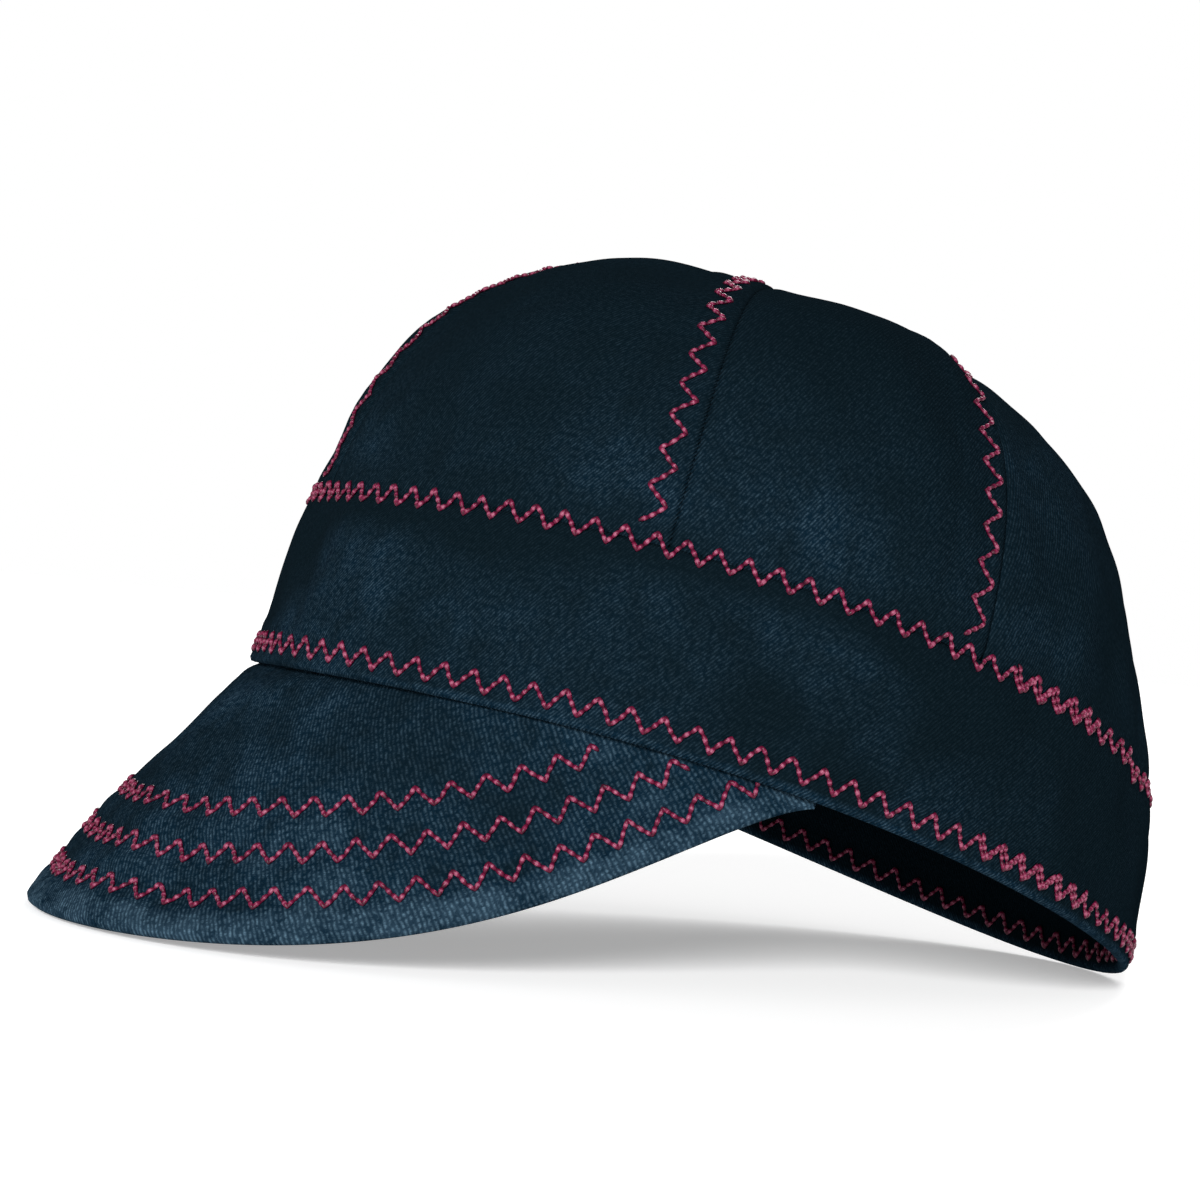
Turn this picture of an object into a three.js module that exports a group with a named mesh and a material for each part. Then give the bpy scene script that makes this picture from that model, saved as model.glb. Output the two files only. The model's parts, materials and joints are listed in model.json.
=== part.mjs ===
// A soft cotton work cap: six crown panels, a band round the head and a short sewn-in peak.
// Lengths are in millimetres and angles in degrees. The front faces -Y and the wearer's left is +X.
// The cap stands as it would on a table, on the edge of its peak and the back of its rim.

import * as THREE from 'three';

// Head opening, measured outside the band
const capLength = 204;
const capWidth = 171;
const frontLength = 92.5; // from the widest place forward to the front of the rim
const sideLift = 7.7; // how much higher the rim is over the ears than at front and back

// Crown
const crownHeight = 110.2; // apex above the rim
const apexForward = 2.7; // how far the apex lies ahead of the widest place
const apexDrift = 1.34; // power by which the walls follow the apex forward as they rise
const panelPuff = 1.4; // how far the middle of a panel stands proud of its seams
const apexOpening = 1.5; // radius where the six panel tips stop short of each other

// Band
const bandWidth = 37.5; // from the rim up to the crown seam, along the cloth

// Peak
const peakLength = 66; // free length at the centre front
const peakHalfAngle = 87; // where the peak ends, from the centre front round the head
const peakFlare = 24; // how far the centre front stands out from straight down
const peakEndFlare = -15; // the same at the two ends, which turn in under the band
const peakTaper = 1.27; // power by which the peak narrows towards its ends
const peakFullness = 0.35; // extra width of the peak half way round to its ends
const peakEndWidth = 1; // what is left of the free length at the very ends
const peakTuck = 7; // how far the peak reaches up behind the band
const peakTurnOut = 3; // how far the cloth turns out as it leaves the band's edge
const peakTurnLength = 4; // free length over which it makes half of that turn

// Cloth
const panelWall = 1.2; // one layer of twill with its seam allowances
const bandWall = 2; // two layers
const peakWall = 2.6; // two layers and the padding between them
const seamGap = 0.3; // clearance between two pieces

// Fineness of the faceted shapes
const columnAngle = 5; // widest step round the head
const panelRows = 14;
const bandRows = 5;
const peakRows = 8;
const tuckRows = 2;

// How the walls curve over at the front, side and back of the head: powers of a rounded square
const wallCurves = {
  front: { heightPower: 3.6, reachPower: 2.45 },
  side: { heightPower: 2.6, reachPower: 3.25 },
  back: { heightPower: 1.77, reachPower: 1.78 },
};

// Crown seams of the left half. lean is how far a seam has turned round the head at the apex.
const seams = {
  centreFront: { angle: 0, lean: 0 },
  second: { angle: 62, lean: -11 },
  third: { angle: 101, lean: 9 },
  centreBack: { angle: 180, lean: 0 },
};

const twill = { color: 0x14283a, roughness: 0.92, metalness: 0 };

const radians = THREE.MathUtils.degToRad;
const up = new THREE.Vector3(0, 0, 1);
const rearLength = capLength - frontLength;
const quarterTurn = Math.PI / 2;
const fullTurn = Math.PI * 2;
const tinyStep = 1e-4;

// The outside of the cap. angle runs round the head from the centre front to the wearer's left,
// climb runs from 0 at the rim to 1 at the apex.
function domePoint(angle, climb) {
  const ahead = Math.cos(angle);
  const aside = Math.sin(angle);
  const front = Math.max(ahead, 0) ** 2;
  const back = Math.max(-ahead, 0) ** 2;
  const side = aside ** 2;
  const blend = (name) => front * wallCurves.front[name]
    + side * wallCurves.side[name] + back * wallCurves.back[name];
  const level = Math.sin(climb * quarterTurn);
  const spread = Math.max(0, 1 - level ** blend('heightPower')) ** (1 / blend('reachPower'));
  const reach = (frontLength + rearLength) / 2 + ((frontLength - rearLength) / 2) * ahead;
  const forward = spread * reach * ahead + apexForward * level ** apexDrift;
  const lift = sideLift * side * (1 - level);
  return new THREE.Vector3(spread * (capWidth / 2) * aside, -forward, crownHeight * level + lift);
}

// The direction square to a surface, given by a function of two values, from small steps along both
function squareTo(surface, first, second, secondLowest) {
  const low = Math.max(second - tinyStep, secondLowest);
  const along = surface(first + tinyStep, second).sub(surface(first - tinyStep, second));
  const upward = surface(first, second + tinyStep).sub(surface(first, low));
  return along.cross(upward).normalize();
}

function domeNormal(angle, climb) {
  return squareTo(domePoint, angle, climb, 0);
}

// The climb that a length of cloth reaches, laid up the cap from the rim
function climbFor(angle, length) {
  const step = 1 / 400;
  let climb = 0;
  let walked = 0;
  let stride = 0;
  while (walked < length && climb < 1) {
    stride = domePoint(angle, climb).distanceTo(domePoint(angle, climb + step));
    walked += stride;
    climb += step;
  }
  return stride > 0 ? climb - (step * (walked - length)) / stride : 0;
}

// The turn round the head that a short length of cloth covers at one place
function turnFor(angle, climb, length) {
  const perRadian = domePoint(angle + tinyStep, climb).distanceTo(domePoint(angle, climb)) / tinyStep;
  return length / perRadian;
}

// The climb where the cap's top has narrowed to the opening left at the apex
function tipClimb(angle) {
  const apex = domePoint(angle, 1);
  let low = 0.5;
  let high = 1;
  while (high - low > tinyStep) {
    const middle = (low + high) / 2;
    const point = domePoint(angle, middle);
    if (Math.hypot(point.x - apex.x, point.y - apex.y) > apexOpening) {
      low = middle;
    } else {
      high = middle;
    }
  }
  return low;
}

// A closed wall between an outside and an inside grid of points, which are asked for by column and
// row. Columns run round the head to the left and rows run up. A ring joins its last column to its first.
function wallBetween(columns, rows, outside, inside, isRing) {
  const columnCount = isRing ? columns : columns + 1;
  const positions = [];
  for (const side of [outside, inside]) {
    for (let column = 0; column < columnCount; column += 1) {
      for (let row = 0; row <= rows; row += 1) {
        positions.push(...side(column, row).toArray());
      }
    }
  }
  const outer = (column, row) => (column % columnCount) * (rows + 1) + row;
  const inner = (column, row) => columnCount * (rows + 1) + outer(column, row);
  const triangles = [];
  const addQuad = (a, b, c, d) => triangles.push(a, b, c, a, c, d);
  for (let column = 0; column < columns; column += 1) {
    for (let row = 0; row < rows; row += 1) {
      const next = column + 1;
      addQuad(outer(column, row), outer(next, row), outer(next, row + 1), outer(column, row + 1));
      addQuad(inner(column, row), inner(column, row + 1), inner(next, row + 1), inner(next, row));
    }
    addQuad(outer(column, 0), inner(column, 0), inner(column + 1, 0), outer(column + 1, 0));
    addQuad(outer(column + 1, rows), inner(column + 1, rows), inner(column, rows), outer(column, rows));
  }
  if (!isRing) {
    for (let row = 0; row < rows; row += 1) {
      addQuad(outer(columns, row), inner(columns, row), inner(columns, row + 1), outer(columns, row + 1));
      addQuad(outer(0, row + 1), inner(0, row + 1), inner(0, row), outer(0, row));
    }
  }
  const geometry = new THREE.BufferGeometry();
  geometry.setAttribute('position', new THREE.Float32BufferAttribute(positions, 3));
  geometry.setIndex(triangles);
  geometry.computeVertexNormals();
  return geometry;
}

// One crown panel between two seams, puffed out in the middle
function crownPanel(fromSeam, toSeam) {
  const span = Math.abs(toSeam.angle - fromSeam.angle);
  const columns = Math.ceil(span / columnAngle);
  const seamAngle = (seam, climb) => radians(seam.angle + seam.lean * climb ** 2);
  const place = (column, row) => {
    const across = column / columns;
    const height = row / panelRows;
    const foot = radians(fromSeam.angle + (toSeam.angle - fromSeam.angle) * across);
    const bottom = climbFor(foot, bandWidth + seamGap);
    const climb = bottom + (tipClimb(foot) - bottom) * height;
    const first = seamAngle(fromSeam, climb);
    const last = seamAngle(toSeam, climb);
    const firstAngle = first + turnFor(first, climb, seamGap / 2);
    const lastAngle = last - turnFor(last, climb, seamGap / 2);
    return { across, height, climb, angle: firstAngle + (lastAngle - firstAngle) * across };
  };
  const at = (column, row, depth) => {
    const { across, height, climb, angle } = place(column, row);
    const puff = panelPuff * 4 * across * (1 - across) * Math.sin(Math.PI * height);
    return domePoint(angle, climb).addScaledVector(domeNormal(angle, climb), puff - depth);
  };
  const outside = (column, row) => at(column, row, 0);
  const inside = (column, row) => at(column, row, panelWall);
  return wallBetween(columns, panelRows, outside, inside, false);
}

// The band is a ring. A pair of its columns lies evenly about the centre back, which leaves
// a flat facet on the rim there.
function band() {
  const columns = 2 * Math.ceil(180 / columnAngle);
  const at = (column, row, depth) => {
    const angle = ((column + 0.5) / columns) * fullTurn;
    const climb = climbFor(angle, (bandWidth * row) / bandRows);
    return domePoint(angle, climb).addScaledVector(domeNormal(angle, climb), -depth);
  };
  const outside = (column, row) => at(column, row, 0);
  const inside = (column, row) => at(column, row, bandWall);
  return wallBetween(columns, bandRows, outside, inside, true);
}

// The peak hangs from behind the band's lower edge. rise runs from 0 at its outer edge to 1 at
// the rim and on to 2 at the top of the part that is tucked away.
function peakPoint(angle, rise) {
  const tucked = climbFor(angle, peakTuck * Math.max(rise - 1, 0));
  const behindBand = domeNormal(angle, tucked).multiplyScalar(-bandWall - seamGap);
  const root = domePoint(angle, tucked).add(behindBand);
  const turn = (angle / radians(peakHalfAngle)) ** 2;
  const taper = Math.max(0, 1 - turn) ** peakTaper * (1 + peakFullness * turn);
  const width = peakEndWidth + (peakLength - peakEndWidth) * taper;
  const flare = radians(peakFlare + (peakEndFlare - peakFlare) * turn);
  const outward = domeNormal(angle, 0).setZ(0).normalize();
  const free = width * Math.max(1 - rise, 0);
  const turnOut = (peakTurnOut * free) / (free + peakTurnLength);
  root.addScaledVector(outward, free * Math.sin(flare) + turnOut);
  return root.addScaledVector(up, -free * Math.cos(flare));
}

function peak() {
  const columns = 2 * Math.ceil(peakHalfAngle / columnAngle);
  const at = (column, row, depth) => {
    const angle = radians(peakHalfAngle) * ((2 * column) / columns - 1);
    const rise = row <= peakRows ? row / peakRows : 1 + (row - peakRows) / tuckRows;
    return peakPoint(angle, rise).addScaledVector(squareTo(peakPoint, angle, rise, 0), -depth);
  };
  const outside = (column, row) => at(column, row, 0);
  const inside = (column, row) => at(column, row, peakWall);
  return wallBetween(columns, peakRows + tuckRows, outside, inside, false);
}

function pieceOf(name, geometry) {
  const mesh = new THREE.Mesh(geometry, new THREE.MeshStandardMaterial(twill));
  mesh.name = name;
  return mesh;
}

// The seam on the other half of the head
function mirrored(seam) {
  return { angle: -seam.angle, lean: -seam.lean };
}

// The lowest level of a piece once the front of the cap is raised by a tilt
function lowestLevel(piece, tilt) {
  const position = piece.geometry.getAttribute('position');
  let lowest = Infinity;
  for (let index = 0; index < position.count; index += 1) {
    const level = position.getZ(index) * Math.cos(tilt) - position.getY(index) * Math.sin(tilt);
    lowest = Math.min(lowest, level);
  }
  return lowest;
}

// The tilt at which the peak's edge and the back of the rim stand on one table
function restingTilt(frontPiece, rearPiece) {
  let low = 0;
  let high = radians(60);
  while (high - low > 1e-6) {
    const middle = (low + high) / 2;
    if (lowestLevel(frontPiece, middle) < lowestLevel(rearPiece, middle)) {
      low = middle;
    } else {
      high = middle;
    }
  }
  return (low + high) / 2;
}

const cap = new THREE.Group();
const sewn = new THREE.Group();
cap.add(sewn);

const panelSeams = {
  front: [seams.centreFront, seams.second],
  side: [seams.second, seams.third],
  rear: [seams.third, seams.centreBack],
};
for (const [place, [ahead, behind]] of Object.entries(panelSeams)) {
  sewn.add(pieceOf(`crown_${place}_left`, crownPanel(ahead, behind)));
  sewn.add(pieceOf(`crown_${place}_right`, crownPanel(mirrored(behind), mirrored(ahead))));
}
const bandPiece = pieceOf('band', band());
const peakPiece = pieceOf('peak', peak());
sewn.add(bandPiece, peakPiece);

sewn.rotation.x = -restingTilt(peakPiece, bandPiece);
cap.updateMatrixWorld(true);
const bounds = new THREE.Box3().setFromObject(sewn, true);
const middle = bounds.getCenter(new THREE.Vector3());
sewn.position.set(-middle.x, -middle.y, -bounds.min.z);
cap.updateMatrixWorld(true);

export default cap;
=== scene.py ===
# %% [markdown]
# # A soft cotton work cap
#
# The cap is sewn from navy twill: six crown panels, a folded band and a short quilted peak, with a
# crimson three-step zigzag along every seam. The frame already holds each piece at its true size.
# This lesson dresses those pieces: fine cloth surfaces with sewn relief, real thread, and materials.

import json
import math

import bmesh
import bpy
import numpy as np
from mathutils import Matrix, Vector
from mathutils.bvhtree import BVHTree


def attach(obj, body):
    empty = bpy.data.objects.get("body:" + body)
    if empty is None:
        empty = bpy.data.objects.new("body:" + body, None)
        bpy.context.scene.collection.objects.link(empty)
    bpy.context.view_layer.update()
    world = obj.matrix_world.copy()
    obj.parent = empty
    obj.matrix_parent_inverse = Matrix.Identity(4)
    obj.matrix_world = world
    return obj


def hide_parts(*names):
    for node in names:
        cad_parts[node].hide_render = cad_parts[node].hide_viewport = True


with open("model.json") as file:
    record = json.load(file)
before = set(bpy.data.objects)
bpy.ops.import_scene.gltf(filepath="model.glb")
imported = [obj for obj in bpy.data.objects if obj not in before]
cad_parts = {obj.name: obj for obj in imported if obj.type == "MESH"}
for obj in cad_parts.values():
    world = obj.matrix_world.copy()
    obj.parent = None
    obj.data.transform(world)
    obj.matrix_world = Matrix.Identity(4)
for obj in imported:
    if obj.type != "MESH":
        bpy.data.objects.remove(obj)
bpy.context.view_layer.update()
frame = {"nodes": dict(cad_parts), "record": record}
print("frame nodes:", sorted(frame["nodes"]))

# %% [markdown]
# ## Where the cap's own axes are
#
# The cap stands tilted, on the edge of its peak and the back of its rim. It is far easier to shape in
# its own axes: forward, to the wearer's left, and up, square to the rim. The frame's record has a mount
# at the middle of the head opening, and its axis points out of the opening, so it gives us all three.

# %% Axes of the cap
opening = next(m for m in frame["record"]["mounts"] if m["name"] == "head_opening")
rim_centre = np.array(opening["pos_m"], float)
cap_up = -np.array(opening["axis"], float)
cap_up /= np.linalg.norm(cap_up)
cap_left = np.array([1.0, 0.0, 0.0])
cap_back = np.cross(cap_up, cap_left)
cap_axes = np.stack([cap_left, cap_back, cap_up])


def standing(points):
    """Points given in the cap's own axes (left, back, up), put where the standing cap has them."""
    return rim_centre + points @ cap_axes


print("the rim is tilted by", round(math.degrees(math.acos(cap_up[2])), 2), "degrees")

# %% [markdown]
# ## The driving sizes
#
# These are the sizes that the solids were made from, now in metres. Everything below is worked out from
# them, so that the cloth lies exactly where its solid is.

# %% Driving sizes
MM = 0.001
CAP_LENGTH = 204 * MM
CAP_WIDTH = 171 * MM
FRONT_LENGTH = 92.5 * MM
SIDE_LIFT = 7.7 * MM
CROWN_HEIGHT = 110.2 * MM
APEX_FORWARD = 2.7 * MM
APEX_DRIFT = 1.34
PANEL_PUFF = 1.4 * MM
BAND_WIDTH = 37.5 * MM
PEAK_LENGTH = 66 * MM
PEAK_HALF_ANGLE = math.radians(87)
PEAK_FLARE = math.radians(24)
PEAK_END_FLARE = math.radians(-15)
PEAK_TAPER = 1.27
PEAK_FULLNESS = 0.35
PEAK_END_WIDTH = 1 * MM
PEAK_TUCK = 7 * MM
PEAK_TURN_OUT = 3 * MM
PEAK_TURN_LENGTH = 4 * MM
PANEL_WALL = 1.2 * MM
BAND_WALL = 2 * MM
PEAK_WALL = 2.6 * MM
SEAM_GAP = 0.3 * MM

WALL_CURVES = {
    "front": {"height_power": 3.6, "reach_power": 2.45},
    "side": {"height_power": 2.6, "reach_power": 3.25},
    "back": {"height_power": 1.77, "reach_power": 1.78},
}
SEAMS = {
    "centre_front": {"angle": 0, "lean": 0},
    "second": {"angle": 62, "lean": -11},
    "third": {"angle": 101, "lean": 9},
    "centre_back": {"angle": 180, "lean": 0},
}
print("the rim is", round(CAP_LENGTH / MM), "by", round(CAP_WIDTH / MM), "mm outside")

# %% [markdown]
# ## The form of the crown
#
# One formula gives the whole outside of the cap. An angle runs round the head from the centre front to
# the wearer's left, and a climb runs from 0 at the rim to 1 at the apex. Each wall is a rounded square
# in section, and its roundness blends from the steep front through the sides to the sloping back.


# %% The dome formula
STEP = 1e-4  # the small step that slopes and lengths are measured over
HIGHEST_CLIMB = 0.9985  # just below the apex, where the surface still has a slope to measure


def dome(angle, climb):
    """Points on the outside of the cap, in its own axes, for arrays of angles and climbs."""
    ahead = np.cos(angle)
    aside = np.sin(angle)
    shares = {
        "front": np.maximum(ahead, 0) ** 2,
        "side": aside**2,
        "back": np.maximum(-ahead, 0) ** 2,
    }

    def blend(power):
        return sum(share * WALL_CURVES[place][power] for place, share in shares.items())

    level = np.sin(climb * math.pi / 2)
    spread = np.maximum(0, 1 - level ** blend("height_power")) ** (1 / blend("reach_power"))
    rear_length = CAP_LENGTH - FRONT_LENGTH
    reach = (FRONT_LENGTH + rear_length) / 2 + (FRONT_LENGTH - rear_length) / 2 * ahead
    forward = spread * reach * ahead + APEX_FORWARD * level**APEX_DRIFT
    lift = SIDE_LIFT * shares["side"] * (1 - level)
    left = spread * CAP_WIDTH / 2 * aside
    return np.stack(np.broadcast_arrays(left, -forward, CROWN_HEIGHT * level + lift), -1)


def square_to(surface, first, second):
    """Unit vectors square to a surface of two values, from small steps along both."""
    along = surface(first + STEP, second) - surface(first - STEP, second)
    upward = surface(first, second + STEP) - surface(first, np.maximum(second - STEP, 0.0))
    square = np.cross(along, upward)
    return square / np.linalg.norm(square, axis=-1, keepdims=True)


def dome_normal(angle, climb):
    return square_to(dome, angle, np.minimum(climb, HIGHEST_CLIMB))


print("apex at", np.round(standing(dome(0.0, 1.0)), 4))

# %% [markdown]
# ## Measuring along the cloth
#
# A sewer measures along the cloth, not along an axis. A table of lengths up the wall, made once, turns
# a length of cloth into a climb and back. A second measure turns a short length round the head into
# an angle.

# %% Lengths along the cloth
CLIMB_HALVINGS = 22
TIP_HALVINGS = 20
TIP_RADIUS = 0.06 * MM  # the small hole that the panels leave at the apex
climb_steps = np.linspace(0, 1, 801)
angle_steps = np.radians(np.linspace(-184, 184, 369))
wall_points = dome(angle_steps[:, None], climb_steps[None, :])
wall_strides = np.linalg.norm(np.diff(wall_points, axis=1), axis=2)
wall_lengths = np.concatenate([np.zeros((len(angle_steps), 1)), np.cumsum(wall_strides, axis=1)], 1)


def length_up(angle, climb):
    """The length of cloth from the rim up to a climb, read from the table."""
    angle, climb = np.broadcast_arrays(angle, climb)
    column = (angle - angle_steps[0]) / (angle_steps[1] - angle_steps[0])
    row = np.clip(climb, 0, 1) * (len(climb_steps) - 1)
    i = np.clip(column.astype(int), 0, len(angle_steps) - 2)
    j = np.clip(row.astype(int), 0, len(climb_steps) - 2)
    a = column - i
    b = row - j
    low = wall_lengths[i, j] * (1 - a) + wall_lengths[i + 1, j] * a
    high = wall_lengths[i, j + 1] * (1 - a) + wall_lengths[i + 1, j + 1] * a
    return low * (1 - b) + high * b


def climb_for(angle, length):
    """The climb that a length of cloth reaches, by halving the range again and again."""
    low = np.zeros(np.broadcast(angle, length).shape)
    high = np.ones_like(low)
    for _ in range(CLIMB_HALVINGS):
        middle = (low + high) / 2
        short = length_up(angle, middle) < length
        low = np.where(short, middle, low)
        high = np.where(short, high, middle)
    return (low + high) / 2


def length_round(angle, climb):
    """Length round the head for each radian."""
    return np.linalg.norm(dome(angle + STEP, climb) - dome(angle, climb), axis=-1) / STEP


def tip_climb(angle):
    """The climb where the crown has narrowed to the tip's small radius round the apex."""
    low = np.full(np.shape(angle), 0.5)
    high = np.ones_like(low)
    apex = dome(0.0, 1.0)
    for _ in range(TIP_HALVINGS):
        middle = (low + high) / 2
        outside = np.linalg.norm((dome(angle, middle) - apex)[..., :2], axis=-1) > TIP_RADIUS
        low = np.where(outside, middle, low)
        high = np.where(outside, high, middle)
    return low


print("cloth from rim to apex, front:", round(float(length_up(0.0, 1.0)), 4), "m")

# %% [markdown]
# ## Soft folds
#
# Cloth that has been worn is never quite even. A few long, shallow waves in seeded random directions
# give the swells and dents. They are read at the place of each point, so they run on across the seams,
# and they are calmer beside a seam, which holds the cloth.

# %% Soft folds
fold_random = np.random.default_rng(7)
FOLDS = (
    {"wave": 80 * MM, "depth": 0.42 * MM, "count": 4},
    {"wave": 44 * MM, "depth": 0.32 * MM, "count": 5},
    {"wave": 24 * MM, "depth": 0.16 * MM, "count": 6},
    {"wave": 12 * MM, "depth": 0.045 * MM, "count": 7},
)
fold_waves = []
for fold in FOLDS:
    for _ in range(fold["count"]):
        heading = fold_random.normal(size=3)
        heading /= np.linalg.norm(heading)
        wave = fold["wave"] * fold_random.uniform(0.8, 1.25)
        fold_waves.append((heading * 2 * math.pi / wave, fold_random.uniform(0, 6.28), fold["depth"]))
CALMEST = 0.35  # the share of the folds and the relief that is left where the cloth is held


def soft_folds(points):
    """How far the folds lift the cloth at each point."""
    return sum(depth * np.sin(points @ turn + start) for turn, start, depth in fold_waves)


def bump(distance, width):
    """A soft hump, 1 in the middle and fading over a width."""
    return np.exp(-((distance / width) ** 2))


def ramp(distance, start, end):
    """0 before start, 1 after end, and smooth between."""
    share = np.clip((distance - start) / (end - start), 0, 1)
    return share * share * (3 - 2 * share)


def calmed(freedom):
    """The share of a relief that is left: CALMEST where freedom is 0, and all of it where it is 1."""
    return CALMEST + (1 - CALMEST) * freedom


print(len(fold_waves), "waves make the folds")

# %% [markdown]
# ## Relief along a sewn seam
#
# Where two panels meet, the cloth turns in and leaves a narrow ditch. Both seam allowances are pressed
# to one side, so that side stands a little prouder, and the zigzag on it draws the cloth in again in a
# shallow valley with small puckers. These few sizes describe all of that.

# %% Seam sizes and relief
ZIGZAG_WIDTH = 5.2 * MM
ZIGZAG_PERIOD = 6.8 * MM
BAND_TOP_PERIOD = 6.0 * MM
CROWN_PERIOD = 7.6 * MM
HEM_PERIOD = 6.3 * MM
ZIGZAG_OFFSET = 4.7 * MM  # from the ditch of a crown seam to the middle of its zigzag
DITCH_DEPTH = 0.5 * MM
DITCH_WIDTH = 1.5 * MM
ALLOWANCE = 10.5 * MM
ALLOWANCE_RISE = 0.5 * MM
ALLOWANCE_START = (0.2 * MM, 1.7 * MM)  # where the raised side begins and where it is fully raised
ALLOWANCE_END = 3 * MM  # the length over which it falls off again
VALLEY_DEPTH = 0.36 * MM
VALLEY_WIDTH = 2.7 * MM
PUCKER_DEPTH = 0.15 * MM
PUCKER_WIDTH = 4.2 * MM
PUCKER_DRIFT = 19 * MM  # the length over which the puckers fall out of step
BAND_DITCH_DEPTH = 0.6 * DITCH_DEPTH
BAND_TOP_RADIUS = 90 * MM
RIM_RADIUS = 92 * MM


def seam_relief(distance, along, stitched):
    """Relief beside a crown seam, by the distance from it and the length along it."""
    relief = -DITCH_DEPTH * bump(distance, DITCH_WIDTH)
    if stitched:
        rise = ramp(distance, *ALLOWANCE_START)
        rise = rise * (1 - ramp(distance, ALLOWANCE, ALLOWANCE + ALLOWANCE_END))
        relief = relief + ALLOWANCE_RISE * rise + zigzag_relief(distance - ZIGZAG_OFFSET, along)
    return relief


def zigzag_relief(distance, along):
    """The valley and the puckers that a row of zigzag draws into the cloth."""
    pucker = np.cos(4 * math.pi * along / ZIGZAG_PERIOD + 0.8 * np.sin(along / PUCKER_DRIFT))
    valley = -VALLEY_DEPTH * bump(distance, VALLEY_WIDTH)
    return valley + PUCKER_DEPTH * pucker * bump(distance, PUCKER_WIDTH)


print("a zigzag is", round(ZIGZAG_WIDTH / MM, 1), "mm wide")

# %% [markdown]
# ## From a flat grid to a shaped cloth
#
# Each piece starts as the grid operator's flat sheet. Its two directions are shares of the way across
# and up the piece, and moving every point by the cap's formula bends the sheet into place. A UV map in
# real metres goes with it, so that the twill keeps its scale and its direction on each cut piece.


# %% Helpers that bend a grid and put it in the scene
WELD_DISTANCE = 0.002 * MM


def add_map(mesh, name, measures):
    """Gives a mesh a UV map from two measures for each of its points."""
    corners = np.empty(len(mesh.loops), int)
    mesh.loops.foreach_get("vertex_index", corners)
    mesh.uv_layers.new(name=name).data.foreach_set("uv", measures[corners].ravel())


def bent_grid(name, columns, rows, shape, weld=False):
    """A grid whose points are moved by shape(across, up), which gives points and cloth measures.
    Where its edges meet, weld joins the points that fall together."""
    bm = bmesh.new()
    bmesh.ops.create_grid(bm, x_segments=columns, y_segments=rows, size=1.0)
    mesh = bpy.data.meshes.new(name)
    bm.to_mesh(mesh)
    bm.free()
    flat = np.empty(len(mesh.vertices) * 3)
    mesh.vertices.foreach_get("co", flat)
    flat = flat.reshape(-1, 3)
    points, measures = shape((flat[:, 0] + 1) / 2, (flat[:, 1] + 1) / 2)
    points = standing(points)
    points[:, 2] = np.maximum(points[:, 2], 0)
    mesh.vertices.foreach_set("co", points.ravel())
    add_map(mesh, "cloth", measures)
    if weld:
        bm = bmesh.new()
        bm.from_mesh(mesh)
        bmesh.ops.remove_doubles(bm, verts=bm.verts, dist=WELD_DISTANCE)
        bm.to_mesh(mesh)
        bm.free()
    mesh.update()
    return mesh


def new_object(name, data):
    thing = bpy.data.objects.new(name, data)
    bpy.context.scene.collection.objects.link(thing)
    return thing


def put_in_scene(name, mesh, node=None):
    """Links a piece, rides it on the cap's one body and hides the solid it stands for, if one is given."""
    for face in mesh.polygons:
        face.use_smooth = True
    piece = new_object(name, mesh)
    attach(piece, "root")
    if node:
        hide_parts(node)
    return piece


# %% [markdown]
# ## The six crown panels
#
# The real panels are curved triangles that meet at the apex. Each one here runs between two seams, and
# its middle is puffed out a little. A Solidify modifier then gives it the thickness of its cloth.

# %% Crown panels
CELL = 1.0 * MM  # how far apart the points of the fine cloth lie
APEX_CALM = 16 * MM  # the radius round the apex inside which the relief fades
SEAM_CALM = 9 * MM  # the distance from a seam inside which the folds fade
BAND_CALM = 12 * MM
FOOT_CLIMB = 0.2  # where a panel's width at its foot is measured
LEFT = 1
RIGHT = -1
PANELS = (  # name, first seam, last seam, and whether a zigzag is sewn beside each on this panel
    ("front_left", ("centre_front", LEFT), ("second", LEFT), (False, True)),
    ("side_left", ("second", LEFT), ("third", LEFT), (False, True)),
    ("rear_left", ("third", LEFT), ("centre_back", LEFT), (False, True)),
    ("front_right", ("second", RIGHT), ("centre_front", RIGHT), (True, True)),
    ("side_right", ("third", RIGHT), ("second", RIGHT), (True, False)),
    ("rear_right", ("centre_back", RIGHT), ("third", RIGHT), (False, False)),
)


def seam_angle(seam, hand, climb):
    """The angle of a seam at a climb. hand is 1 on the wearer's left and -1 on the right."""
    return hand * np.radians(SEAMS[seam]["angle"] + SEAMS[seam]["lean"] * climb**2)


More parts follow.
